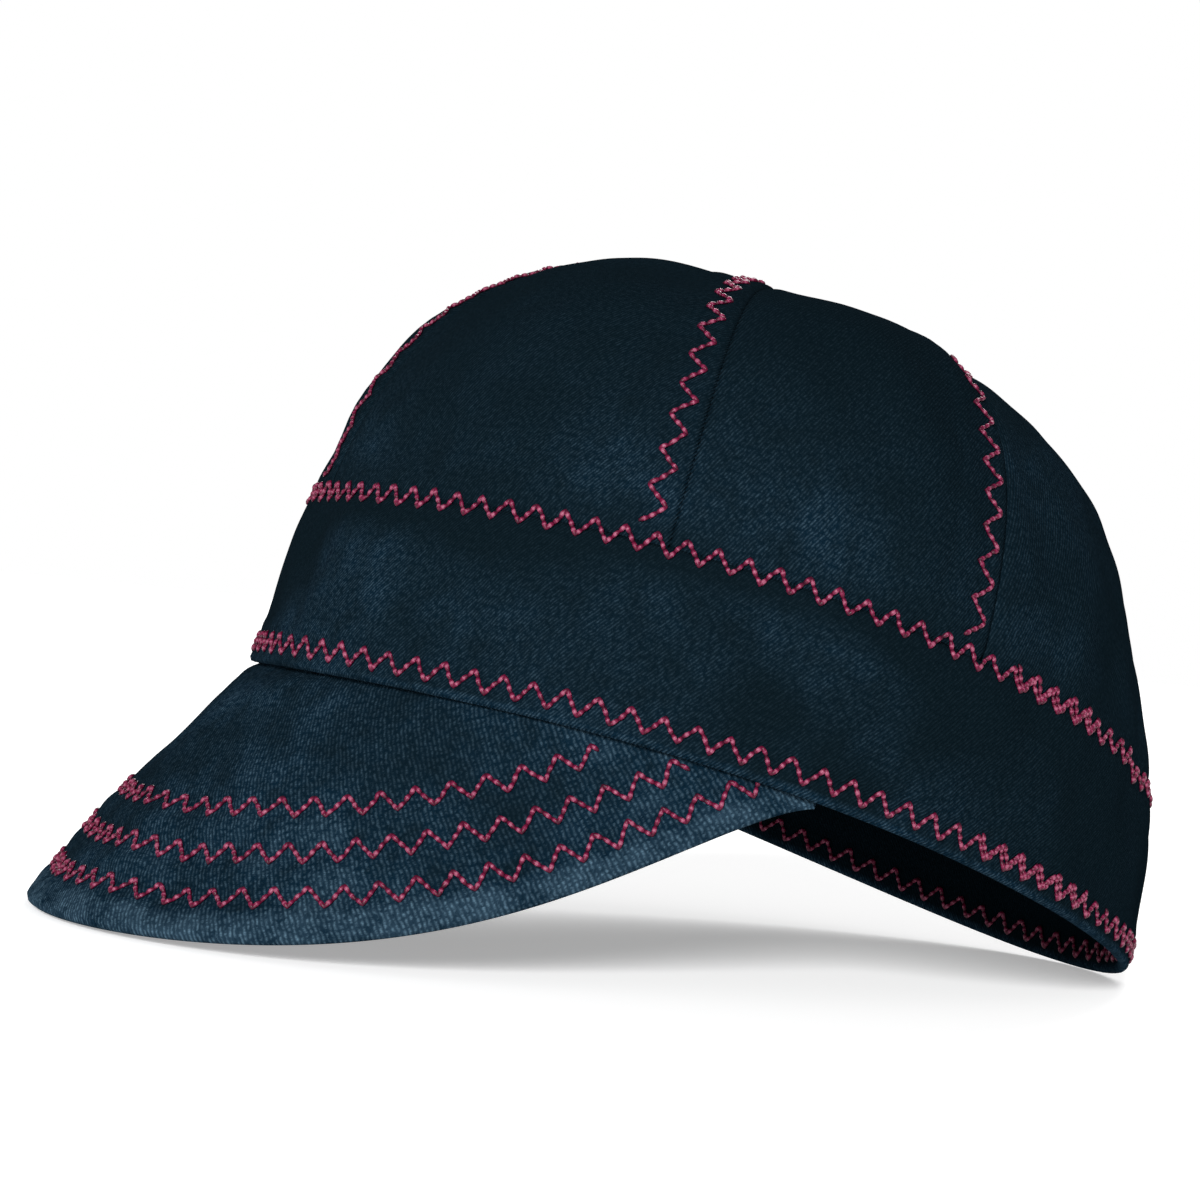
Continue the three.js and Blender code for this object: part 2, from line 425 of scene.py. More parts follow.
def panel_shape(first, last, stitched):
    """The function that bends a flat grid into the panel between two seams."""

    def shape(across, up):
        foot = seam_angle(*first, 0.0) + (seam_angle(*last, 0.0) - seam_angle(*first, 0.0)) * across
        bottom = climb_for(foot, BAND_WIDTH)
        climb = bottom + (tip_climb(foot) - bottom) * up
        start = seam_angle(*first, climb)
        end = seam_angle(*last, climb)
        angle = start + (end - start) * across
        round_length = length_round(angle, climb)
        along = length_up(angle, climb)
        from_first = (angle - start) * round_length
        from_last = (end - angle) * round_length
        from_band = along - BAND_WIDTH
        base = dome(angle, climb)
        from_apex = np.linalg.norm((base - dome(0.0, 1.0))[:, :2], axis=1)
        off_apex = ramp(from_apex, 0.0, APEX_CALM)
        puff = PANEL_PUFF * 4 * across * (1 - across) * np.sin(math.pi * up)
        relief = seam_relief(from_first, along, stitched[0]) + seam_relief(from_last, along, stitched[1])
        relief = relief * calmed(off_apex)
        band_seam = zigzag_relief(from_band, angle * BAND_TOP_RADIUS)
        band_seam = band_seam - BAND_DITCH_DEPTH * bump(from_band, DITCH_WIDTH)
        folds = soft_folds(base) * ramp(np.minimum(from_first, from_last), 0.0, SEAM_CALM) * off_apex
        lift = puff + relief + band_seam + folds * calmed(ramp(from_band, 0.0, BAND_CALM))
        points = base + dome_normal(angle, climb) * lift[:, None]
        return points, np.stack([(angle - (start + end) / 2) * round_length, along], 1)

    return shape


crown_pieces = []
for place, first, last, stitched in PANELS:
    first_angle = seam_angle(*first, 0.0)
    last_angle = seam_angle(*last, 0.0)
    middle_angle = (first_angle + last_angle) / 2
    foot_length = abs(last_angle - first_angle) * float(length_round(middle_angle, FOOT_CLIMB))
    wall_length = float(length_up(middle_angle, 1.0)) - BAND_WIDTH
    name = "crown_" + place
    shape = panel_shape(first, last, stitched)
    mesh = bent_grid(name + "_cloth", round(foot_length / CELL), round(wall_length / CELL), shape)
    piece = put_in_scene(name + "_cloth", mesh, name)
    wall = piece.modifiers.new("cloth thickness", "SOLIDIFY")
    wall.thickness = PANEL_WALL
    wall.offset = -1
    crown_pieces.append(piece)
    print(name, "cut", round(foot_length, 3), "x", round(wall_length, 3), "m,", len(mesh.polygons), "faces")

# %% [markdown]
# ## The band
#
# The band is a strip of double cloth, folded at the rim. A grid can make that fold too: its rows run down
# the inside, round the fold and up the outside, and its last column meets its first. Welding the points
# that fall together leaves one closed ring.

# %% Band
HEM_STITCH = 4.4 * MM  # from the rim up to the middle of the lower zigzag
HEM_RISE = 0.3 * MM
HEM_END = (8.5 * MM, 10.5 * MM)  # where the cloth that is folded in ends
INNER_LOSS = 0.5  # how much of the relief is lost on the way to the inner face


def folded_section(up, free, wall):
    """Walks the section of a folded strip: up is 0 to 1 round it from the inside top, over the fold and
    up the outside. Gives the height above the fold's lowest point and the depth below the outside."""
    fold = math.pi * wall / 2
    whole = 2 * free + fold + wall
    walked = up * whole
    inside = walked < free
    turning = (walked >= free) & (walked < free + fold)
    outside = (walked >= free + fold) & (walked < 2 * free + fold)
    turn = np.clip((walked - free) / fold, 0, 1) * math.pi
    height = np.where(inside, free - walked, np.where(outside, walked - free - fold, 0)) + wall / 2
    height = np.where(turning, wall / 2 * (1 - np.sin(turn)), height)
    closing = np.clip((walked - 2 * free - fold) / wall, 0, 1)
    height = np.where(walked >= 2 * free + fold, free + wall / 2, height)
    depth = np.where(inside, wall, np.where(outside, 0, wall / 2 * (1 + np.cos(turn))))
    depth = np.where(walked >= 2 * free + fold, wall * closing, depth)
    return height, depth


def band_shape(across, up):
    angle = (across * 2 - 1) * math.pi
    height, depth = folded_section(up, BAND_WIDTH - BAND_WALL / 2, BAND_WALL)
    climb = climb_for(angle, height)
    base = dome(angle, climb)
    from_top = BAND_WIDTH - height
    hem = HEM_RISE * (1 - ramp(height, *HEM_END))
    relief = zigzag_relief(from_top, angle * BAND_TOP_RADIUS)
    relief = relief - BAND_DITCH_DEPTH * bump(from_top, DITCH_WIDTH)
    relief = relief + zigzag_relief(height - HEM_STITCH, angle * RIM_RADIUS) + hem
    off_seams = ramp(height, 0.0, BAND_CALM) * ramp(from_top, 0.0, SEAM_CALM)
    folds = soft_folds(base) * calmed(off_seams)
    outer_share = 1 - INNER_LOSS * depth / BAND_WALL
    lift = (relief + folds) * outer_share - depth
    points = base + dome_normal(angle, climb) * lift[:, None]
    return points, np.stack([angle * (CAP_LENGTH + CAP_WIDTH) / 4, height], 1)


rim_girth = math.pi * (CAP_LENGTH + CAP_WIDTH) / 2
band_rows = round((2 * BAND_WIDTH + 3 * BAND_WALL) / CELL)
band_mesh = bent_grid("band_cloth", round(rim_girth / CELL), band_rows, band_shape, weld=True)
band_piece = put_in_scene("band_cloth", band_mesh, "band")
print("band:", round(rim_girth, 3), "m round,", len(band_mesh.polygons), "faces")

# %% [markdown]
# ## The peak
#
# The peak is two layers of twill with padding between, turned at the edge and quilted by three rows of
# zigzag. It is sewn in behind the band's fold. The same folded section as the band's gives its rounded
# edge, and its rows of stitching pinch the padding so that it puffs up between them.

# %% Peak
PEAK_ROWS = (9.3 * MM, 19.4 * MM, 29.7 * MM)  # from the peak's outer edge to the middle of each row
ROW_ENDS = (-0.6 * MM, 0.6 * MM, 2.4 * MM)  # width of peak left above each row where the row ends
QUILT_DEPTH = 0.45 * MM
QUILT_WIDTH = 3.4 * MM
PEAK_SEAM_RADIUS = 78 * MM
PEAK_CLOTH_RADIUS = 80 * MM
PEAK_RIM_CALM = (-1 * MM, 4 * MM)  # relief fades where this little of the width is left below the rim
PEAK_END_CALM = 0.12  # and over this share of the way in from the peak's two ends
PEAK_END_THIN = 0.03  # the padding runs out over this share
PEAK_END_WALL = 0.1  # to this share of the wall
PEAK_FOLDS = 0.6
PEAK_FOLD_CALM = 6 * MM
PEAK_INNER_LOSS = 0.4
ARC_SHARE = 0.95  # the peak's middle line is a little shorter than a full arc


def peak_width(angle):
    turn = np.clip((angle / PEAK_HALF_ANGLE) ** 2, 0, 1)
    taper = (1 - turn) ** PEAK_TAPER * (1 + PEAK_FULLNESS * turn)
    return PEAK_END_WIDTH + (PEAK_LENGTH - PEAK_END_WIDTH) * taper


def peak_surface(angle, rise):
    """The peak's upper face. rise is 0 at its edge, 1 at the rim and 2 at the top of the hidden part."""
    tucked = climb_for(angle, PEAK_TUCK * np.maximum(rise - 1, 0))
    normal = dome_normal(angle, tucked)
    root = dome(angle, tucked) - normal * (BAND_WALL + SEAM_GAP)
    turn = (angle / PEAK_HALF_ANGLE) ** 2
    flare = PEAK_FLARE + (PEAK_END_FLARE - PEAK_FLARE) * turn
    outward = dome_normal(angle, np.zeros_like(tucked))
    outward[..., 2] = 0
    outward /= np.linalg.norm(outward, axis=-1, keepdims=True)
    free = peak_width(angle) * np.maximum(1 - rise, 0)
    turn_out = PEAK_TURN_OUT * free / (free + PEAK_TURN_LENGTH)
    hang = outward * (free * np.sin(flare) + turn_out)[..., None]
    hang[..., 2] -= free * np.cos(flare)
    return root + hang


def peak_shape(across, up):
    angle = (across * 2 - 1) * PEAK_HALF_ANGLE
    width = peak_width(angle)
    free = width + PEAK_TUCK - PEAK_WALL / 2
    height, depth = folded_section(up, free, PEAK_WALL)
    rise = np.where(height < width, height / width, 1 + (height - width) / PEAK_TUCK)
    base = peak_surface(angle, rise)
    normal = square_to(peak_surface, angle, rise)
    relief = sum(zigzag_relief(height - row, angle * PEAK_SEAM_RADIUS) for row in PEAK_ROWS)
    channels = zip((0.0,) + PEAK_ROWS[:-1], PEAK_ROWS)
    quilt = sum(QUILT_DEPTH * bump(height - (low + high) / 2, QUILT_WIDTH) for low, high in channels)
    from_end = 1 - np.abs(across * 2 - 1)
    freedom = ramp(width - height, *PEAK_RIM_CALM) * ramp(from_end, 0.0, PEAK_END_CALM)
    folds = soft_folds(base * 1.3 + 0.4) * PEAK_FOLDS * ramp(height, 0.0, PEAK_FOLD_CALM)
    lift = (relief + quilt + folds) * freedom * (1 - PEAK_INNER_LOSS * depth / PEAK_WALL)
    wall = depth * (PEAK_END_WALL + (1 - PEAK_END_WALL) * ramp(from_end, 0.0, PEAK_END_THIN))
    points = base + normal * (lift - wall)[:, None]
    return points, np.stack([angle * PEAK_CLOTH_RADIUS, height], 1)


middle_radius = CAP_LENGTH / 2 + PEAK_LENGTH * math.sin(PEAK_FLARE) / 2
peak_arc = 2 * PEAK_HALF_ANGLE * middle_radius * ARC_SHARE
peak_rows = round((2 * (PEAK_LENGTH + PEAK_TUCK) + 3 * PEAK_WALL) / CELL)
peak_mesh = bent_grid("peak_cloth", round(peak_arc / CELL), peak_rows, peak_shape, weld=True)
bm = bmesh.new()
bm.from_mesh(peak_mesh)
bmesh.ops.holes_fill(bm, edges=[e for e in bm.edges if e.is_boundary], sides=0)
bmesh.ops.triangulate(bm, faces=[f for f in bm.faces if len(f.verts) > 4])
bmesh.ops.recalc_face_normals(bm, faces=bm.faces)
bm.to_mesh(peak_mesh)
bm.free()
peak_piece = put_in_scene("peak_cloth", peak_mesh, "peak")

# %% [markdown]
# ## One stitch
#
# A stitch is a short bridge of thread that rises from one needle hole and dives into the next. The
# sphere operator gives a closed shape with few faces. Stretching it, and arching its middle, makes
# the stitch. Thousands of copies are laid end to end, so it has only a few dozen faces.

# %% Stitch template
THREAD_RADIUS = 0.46 * MM
STITCH_ARCH = 0.34 * MM
STITCH_BITE = 0.12 * MM  # how deep a stitch's ends sink into the cloth
LONGEST_STITCH = 4 * MM
SEEK = 6 * MM  # how far from the formula's surface the finished cloth is looked for
STITCH_OVERLAP = 0.55  # how far a stitch reaches past its holes, in thread radii
THREAD_SPREAD = (0.92, 1.08)  # the thread is a little uneven
THREAD_FLATNESS = 0.85


def stitch_template(sides, rings):
    """A stitch of length 1 along X, with unit radius in Y and Z, as points and faces."""
    bm = bmesh.new()
    bmesh.ops.create_uvsphere(bm, u_segments=sides, v_segments=rings, radius=1.0)
    bmesh.ops.rotate(bm, verts=bm.verts, matrix=Matrix.Rotation(math.pi / 2, 3, "Y"))
    for vert in bm.verts:
        girth = math.hypot(vert.co.y, vert.co.z)
        full = (1 - 0.9 * min(abs(vert.co.x), 1) ** 2.4) ** 0.6  # nearly even, with blunt ends
        if girth > 0:
            vert.co.y *= full / girth
            vert.co.z *= full / girth
    points = np.array([vert.co[:] for vert in bm.verts])
    faces = [[vert.index for vert in face.verts] for face in bm.faces]
    bm.free()
    return points, faces


template_points, template_faces = stitch_template(8, 6)
print("one stitch has", len(template_faces), "faces")

# %% [markdown]
# ## Sewing a row
#
# A three-step zigzag takes three short stitches for each leg. The row is first worked out flat, as
# lengths along and across the seam. Then each needle hole is put on the cap by the formula and dropped
# on the finished cloth beneath it, and a stitch is laid between one hole and the next.

# %% Cloth to sew on
HOLES = 6  # needle holes in one whole zigzag
STRAY_ALONG = 0.10 * MM
STRAY_ACROSS = 0.09 * MM
LOOK_AHEAD = 0.5 * MM  # how far ahead and behind a row's direction is measured
depsgraph = bpy.context.evaluated_depsgraph_get()


def tree_of(pieces):
    """A search tree over the finished surfaces of some pieces."""
    points, faces = [], []
    for piece in pieces:
        mesh = piece.evaluated_get(depsgraph).to_mesh()
        first = len(points)
        points.extend(vert.co[:] for vert in mesh.vertices)
        faces.extend([first + corner for corner in face.vertices] for face in mesh.polygons)
    return BVHTree.FromPolygons(points, faces)


head_cloth = tree_of(crown_pieces + [band_piece])
peak_cloth = tree_of([peak_piece])
sewing_random = np.random.default_rng(21)
print("cloth to sew on:", [piece.name for piece in crown_pieces + [band_piece, peak_piece]])


def zigzag_holes(length, period, start):
    """Needle holes of a three-step zigzag, as lengths along and across its middle line."""
    step = period / HOLES
    count = int(length / step) + 1
    swing = np.abs(((np.arange(count) / HOLES) % 1) * 4 - 2) - 1
    along = start + np.arange(count) * step + sewing_random.normal(size=count) * STRAY_ALONG
    across = swing * (ZIGZAG_WIDTH / 2 - THREAD_RADIUS) + sewing_random.normal(size=count) * STRAY_ACROSS
    return along, across


def row_holes(line, normals, period=ZIGZAG_PERIOD, start=0.0, offset=0.0):
    """Points and normals of a zigzag's holes, laid square to a middle line on the cloth."""
    walked = np.concatenate([[0], np.cumsum(np.linalg.norm(np.diff(line, axis=0), axis=1))])
    along, across = zigzag_holes(walked[-1] - start, period, start)

    def read(table, lengths):
        return np.stack([np.interp(lengths, walked, table[:, axis]) for axis in range(3)], 1)

    middle = read(line, along)
    square = read(normals, along)
    side = np.cross(square, read(line, along + LOOK_AHEAD) - read(line, along - LOOK_AHEAD))
    side /= np.linalg.norm(side, axis=1, keepdims=True)
    return middle + side * (offset + across)[:, None], square


def both_faces(points, normals, wall):
    """The same holes on the outer and on the inner face of the cloth, with their outward normals."""
    outward = normals @ cap_axes
    return [(standing(points), outward), (standing(points - normals * wall), -outward)]


def drop_on(cloth, points, normals):
    """Where points land on the cloth, coming in from its outer side, and the cloth's normals there."""
    landed = []
    for point, outward in zip(points, normals):
        outward = Vector(outward)
        spot, square, _, _ = cloth.ray_cast(Vector(point) + outward * SEEK, -outward, 2 * SEEK)
        if spot is None:
            landed.append(None)
        else:
            landed.append((spot, square if square.dot(outward) > 0 else -square))
    return landed


def sew(name, rows, cloth):
    """Lays stitches between the holes of some rows. A row is the holes' points and outward normals."""
    all_points, all_marks, all_faces = [], [], []
    x, y, z = template_points.T
    for points, normals in rows:
        holes = drop_on(cloth, points, normals)
        for first, second in zip(holes[:-1], holes[1:]):
            if first is None or second is None or (second[0] - first[0]).length > LONGEST_STITCH:
                continue
            (here, square), there = first, second[0]
            lengthwise = (there - here).normalized()
            aside = square.cross(lengthwise).normalized()
            square = lengthwise.cross(aside)
            reach = (there - here).length / 2 + THREAD_RADIUS * STITCH_OVERLAP
            radius = THREAD_RADIUS * sewing_random.uniform(*THREAD_SPREAD)
            lift = STITCH_ARCH * (1 - x**2) + radius * 0.5 - STITCH_BITE
            place = np.array((here + there) / 2) + np.outer(x * reach, lengthwise)
            place = place + np.outer(y * radius, aside)
            place = place + np.outer(z * radius * THREAD_FLATNESS + lift, square)
            place[:, 2] = np.maximum(place[:, 2], 0)
            start = len(all_points) * len(template_points)
            all_points.append(place)
            all_marks.append(np.stack([(x + 1) / 2, np.full(len(x), sewing_random.uniform())], 1))
            all_faces.extend([start + corner for corner in face] for face in template_faces)
    mesh = bpy.data.meshes.new(name)
    mesh.from_pydata(np.concatenate(all_points), [], all_faces)
    add_map(mesh, "stitch", np.concatenate(all_marks))
    piece = put_in_scene(name, mesh)
    print(name, "has", len(all_points), "stitches")
    return piece


# %% [markdown]
# ## Seams round the band
#
# One row covers the join of crown and band, and one holds the folded rim. Sewers overlap the start and
# the end of such a row, so a short stretch at the left rear is sewn twice.


# %% Rows round the head
ROW_POINTS = 1441
SEAM_START = math.radians(-226)
BACK_TACK_SHIFT = 2.6 * MM
TOP_TACK = {"lift": 0.7 * MM, "first": math.radians(105), "last": math.radians(123)}
RIM_TACK = {"lift": 0.5 * MM, "first": math.radians(106), "last": math.radians(128)}


def head_row(height, first_angle, last_angle, wall, period, start=0.0):
    """A zigzag round the head at a height above the rim, from one angle to another."""
    angles = np.linspace(first_angle, last_angle, ROW_POINTS)
    climbs = climb_for(angles, height)
    points, normals = row_holes(dome(angles, climbs), dome_normal(angles, climbs), period, start)
    return both_faces(points, normals, wall)


def overlapped_rows(height, wall, period, tack):
    """A whole turn round the head, and the short stretch of it that is sewn twice."""
    rows = head_row(height, SEAM_START, SEAM_START + 2 * math.pi, wall, period)
    return rows + head_row(height + tack["lift"], tack["first"], tack["last"], wall, period, BACK_TACK_SHIFT)


seam_pieces = []
top_rows = overlapped_rows(BAND_WIDTH, PANEL_WALL, BAND_TOP_PERIOD, TOP_TACK)
seam_pieces.append(sew("zigzag_band_top", top_rows, head_cloth))
rim_rows = overlapped_rows(HEM_STITCH, BAND_WALL, HEM_PERIOD, RIM_TACK)
seam_pieces.append(sew("zigzag_rim", rim_rows, head_cloth))

# %% [markdown]
# ## Seams up the crown
#
# Each crown zigzag runs beside its seam, on the side of the allowances. The centre seams are sewn last
# and run nearly to the apex, and the others stop further below it.


# %% Rows up the crown
LOWEST_CLIMB = 0.15
ROW_CLEARANCE = 0.62  # from the band's zigzag up to the row's first hole, in zigzag widths


def crown_row(seam, hand, side, top_gap):
    """A zigzag beside a seam, from just above the band's zigzag to a gap below the apex."""
    climbs = np.linspace(LOWEST_CLIMB, HIGHEST_CLIMB, 900)
    angles = seam_angle(seam, hand, climbs)
    heights = length_up(angles, climbs)
    bottom = BAND_WIDTH + ZIGZAG_WIDTH * ROW_CLEARANCE
    kept = (heights > bottom) & (heights < heights[-1] - top_gap)
    line = dome(angles, climbs)[kept]
    normals = dome_normal(angles, climbs)[kept]
    points, squares = row_holes(line, normals, CROWN_PERIOD, offset=-side * ZIGZAG_OFFSET)
    return both_faces(points, squares, PANEL_WALL)


CROWN_ROWS = (  # name, seam, hand, side of the seam, and gap below the apex
    ("zigzag_centre_front", "centre_front", LEFT, -1, 7 * MM),
    ("zigzag_second_left", "second", LEFT, -1, 13 * MM),
    ("zigzag_second_right", "second", RIGHT, 1, 19 * MM),
    ("zigzag_third_left", "third", LEFT, -1, 15 * MM),
    ("zigzag_third_right", "third", RIGHT, 1, 15 * MM),
    ("zigzag_centre_back", "centre_back", LEFT, -1, 7 * MM),
)
for name, seam, hand, side, top_gap in CROWN_ROWS:
    seam_pieces.append(sew(name, crown_row(seam, hand, side, top_gap), head_cloth))

# %% [markdown]
# ## Rows on the peak
#
# Three rows follow the peak's outer edge, each at its own distance from it, and run out under the band.


# %% Rows on the peak
def peak_row(inset, left_over):
    """A zigzag along the peak at an inset from its edge, as long as some width is left over above it."""
    angles = np.linspace(-PEAK_HALF_ANGLE, PEAK_HALF_ANGLE, 1201)
    angles = angles[peak_width(angles) > inset + left_over]
    rises = inset / peak_width(angles)
    line = peak_surface(angles, rises)
    points, normals = row_holes(line, square_to(peak_surface, angles, rises))
    return both_faces(points, normals, PEAK_WALL)


for number, (inset, left_over) in enumerate(zip(PEAK_ROWS, ROW_ENDS), start=1):
    seam_pieces.append(sew(f"zigzag_peak_{number}", peak_row(inset, left_over), peak_cloth))

# %% [markdown]
# ## Materials
#
# The twill is dark navy cotton. Its diagonal ribs are well under a millimetre apart. It wears paler in soft
# patches and along the edge of the peak. Painted shade darkens it beside the band's upper seam, at the
# peak's root, towards the top of the crown and towards the back, and a painted highlight runs along the
# band's fold.
# Two waves and some noise draw the weave, because a picture of cloth would repeat. They are in one node
# group, so that any cloth can use them with its own direction.


# %% Twill weave group
RIB_SPACING = 0.62 * MM
WEFT_SPACING = 0.43 * MM
RIB_WOBBLE = 0.35 * MM


def new_group(name, inputs, outputs):
    """A shader node group with named sockets. Inputs are name: default, outputs are names of values."""
    group = bpy.data.node_groups.new(name, "ShaderNodeTree")
    for socket, value in inputs.items():
        kind = "NodeSocketVector" if isinstance(value, tuple) else "NodeSocketFloat"
        made = group.interface.new_socket(socket, in_out="INPUT", socket_type=kind)
        made.default_value = value
    for socket in outputs:
        group.interface.new_socket(socket, in_out="OUTPUT", socket_type="NodeSocketFloat")
    return group, group.nodes.new("NodeGroupInput"), group.nodes.new("NodeGroupOutput")


def maths(tree, operation, first, second=None, third=None):
    """A Math node. Each value is a number or the socket that it comes from."""
    node = tree.nodes.new("ShaderNodeMath")
    node.operation = operation
    for slot, value in enumerate((first, second, third)):
        if value is None:
            continue
        if isinstance(value, (int, float)):
            node.inputs[slot].default_value = value
        else:
            tree.links.new(value, node.inputs[slot])
    return node.outputs[0]


def noise(tree, vector, scale, detail=2.0, roughness=0.5, seed=0.0):
    node = tree.nodes.new("ShaderNodeTexNoise")
    node.noise_dimensions = "4D"
    node.inputs["W"].default_value = seed
    node.inputs["Scale"].default_value = scale
    node.inputs["Detail"].default_value = detail
    node.inputs["Roughness"].default_value = roughness
    tree.links.new(vector, node.inputs["Vector"])
    return node.outputs["Fac"]


def spread(tree, value, low, high, to_low=0.0, to_high=1.0):
    node = tree.nodes.new("ShaderNodeMapRange")
    tree.links.new(value, node.inputs["Value"])
    node.inputs["From Min"].default_value = low
    node.inputs["From Max"].default_value = high
    node.inputs["To Min"].default_value = to_low
    node.inputs["To Max"].default_value = to_high
    return node.outputs["Result"]


def split(tree, vector):
    """The X, Y and Z of a vector, as sockets."""
    node = tree.nodes.new("ShaderNodeSeparateXYZ")
    tree.links.new(vector, node.inputs[0])
    return node.outputs


def add_bump(tree, shader, height, strength, distance):
    node = tree.nodes.new("ShaderNodeBump")
    node.inputs["Strength"].default_value = strength
    node.inputs["Distance"].default_value = distance
    tree.links.new(height, node.inputs["Height"])
    tree.links.new(node.outputs["Normal"], shader.inputs["Normal"])


def new_material(name):
    material = bpy.data.materials.new(name)
    material.use_nodes = True
    return material, material.node_tree, material.node_tree.nodes["Principled BSDF"]


twill_group, twill_in, twill_out = new_group(
    "twill_weave",
    {"Cloth": (0.0, 0.0, 0.0), "Rib Spacing": RIB_SPACING, "Across": 0.7, "Up": 0.7},
    ("Height", "Rib", "Slub"),
)
parts = split(twill_group, twill_in.outputs["Cloth"])
wobble = noise(twill_group, twill_in.outputs["Cloth"], 420.0, 2.0)
wobble = spread(twill_group, wobble, 0.0, 1.0, -RIB_WOBBLE, RIB_WOBBLE)
across_part = maths(twill_group, "MULTIPLY", parts["X"], twill_in.outputs["Across"])
up_part = maths(twill_group, "MULTIPLY_ADD", parts["Y"], twill_in.outputs["Up"], across_part)
rib_place = maths(twill_group, "ADD", up_part, wobble)
rib_turn = maths(twill_group, "DIVIDE", rib_place, twill_in.outputs["Rib Spacing"])
rib_wave = maths(twill_group, "SINE", maths(twill_group, "MULTIPLY", rib_turn, 2 * math.pi))
rib = spread(twill_group, rib_wave, -1.0, 1.0)
yarn_step = maths(twill_group, "DIVIDE", parts["Y"], WEFT_SPACING)
yarn_wave = maths(twill_group, "SINE", maths(twill_group, "MULTIPLY", yarn_step, 2 * math.pi))
yarn = spread(twill_group, yarn_wave, -1.0, 1.0, 0.72, 1.0)
slub = noise(twill_group, twill_in.outputs["Cloth"], 1100.0, 3.0, 0.6)
crossing = maths(twill_group, "MULTIPLY", rib, yarn)
height = maths(twill_group, "MULTIPLY_ADD", slub, 0.5, crossing)
twill_group.links.new(height, twill_out.inputs["Height"])
twill_group.links.new(crossing, twill_out.inputs["Rib"])
twill_group.links.new(slub, twill_out.inputs["Slub"])
print("group made:", twill_group.name)


# %% Cloth material
NAVY = (  # from dark to pale: unworn cloth and painted shade at the dark end, wear and the band's painted highlight at the pale end
    (0.0, (0.0021, 0.0056, 0.0082)),
    (0.4, (0.0022, 0.0094, 0.0180)),
    (1.0, (0.0120, 0.0270, 0.0430)),
)
RIB_NAVY = (0.0800, 0.1420, 0.1920)
TOP_SHADE_HEIGHTS = (0.080, 0.120)  # heights between which painted shade deepens towards the top, in metres
BACK_SHADE_DISTANCES = (0.025, 0.080)  # and distances between which painted shade deepens towards the back
# the deepest painted shade takes away this share of the pale patches
DEEPEST_PAINTED_SHADE = 0.85
SEAM_SHADE = (3 * MM, 10 * MM)  # painted shade is deepest up to the first distance from the seam and fades out by the second
# the share of the pale patches that is left in the deepest painted shade by the seam
SEAM_SHARE = 0.35
FULL_STRIP = 0.45  # the share of an edge's width that is fully pale: wear on the peak, a painted highlight on the band's fold
WEAVE_RELIEF = 0.22 * MM
CLOTHS = (  # name, direction across the ribs, pale edge (wear on the peak, painted highlight on the band) and its paleness, fade, seam with painted shade beside it, seed
    ("twill_crown", 0.88, -0.48, 0.1 * MM, 0.0, 0.0, BAND_WIDTH, 5.0),
    ("twill_band", 0.80, -0.60, 2.2 * MM, 0.55, -0.20, BAND_WIDTH, 5.0),
    ("twill_peak", 0.90, 0.44, 10 * MM, 1.3, 0.25, PEAK_LENGTH, 11.0),
)


def colour_ramp(tree, value, stops):
    """A Color Ramp with (place, linear colour) stops."""
    node = tree.nodes.new("ShaderNodeValToRGB")
    elements = node.color_ramp.elements
    while len(elements) < len(stops):
        elements.new(0.5)
    for element, (place, colour) in zip(elements, stops):
        element.position = place
        element.color = (*colour, 1.0)
    tree.links.new(value, node.inputs["Fac"])
    return node.outputs["Color"]


def mixed(tree, factor, first, second):
    """A mix of the colour from a socket with a linear colour."""
    node = tree.nodes.new("ShaderNodeMix")
    node.data_type = "RGBA"
    tree.links.new(factor, node.inputs["Factor"])
    tree.links.new(first, node.inputs["A"])
    node.inputs["B"].default_value = (*second, 1.0)
    return node.outputs["Result"]


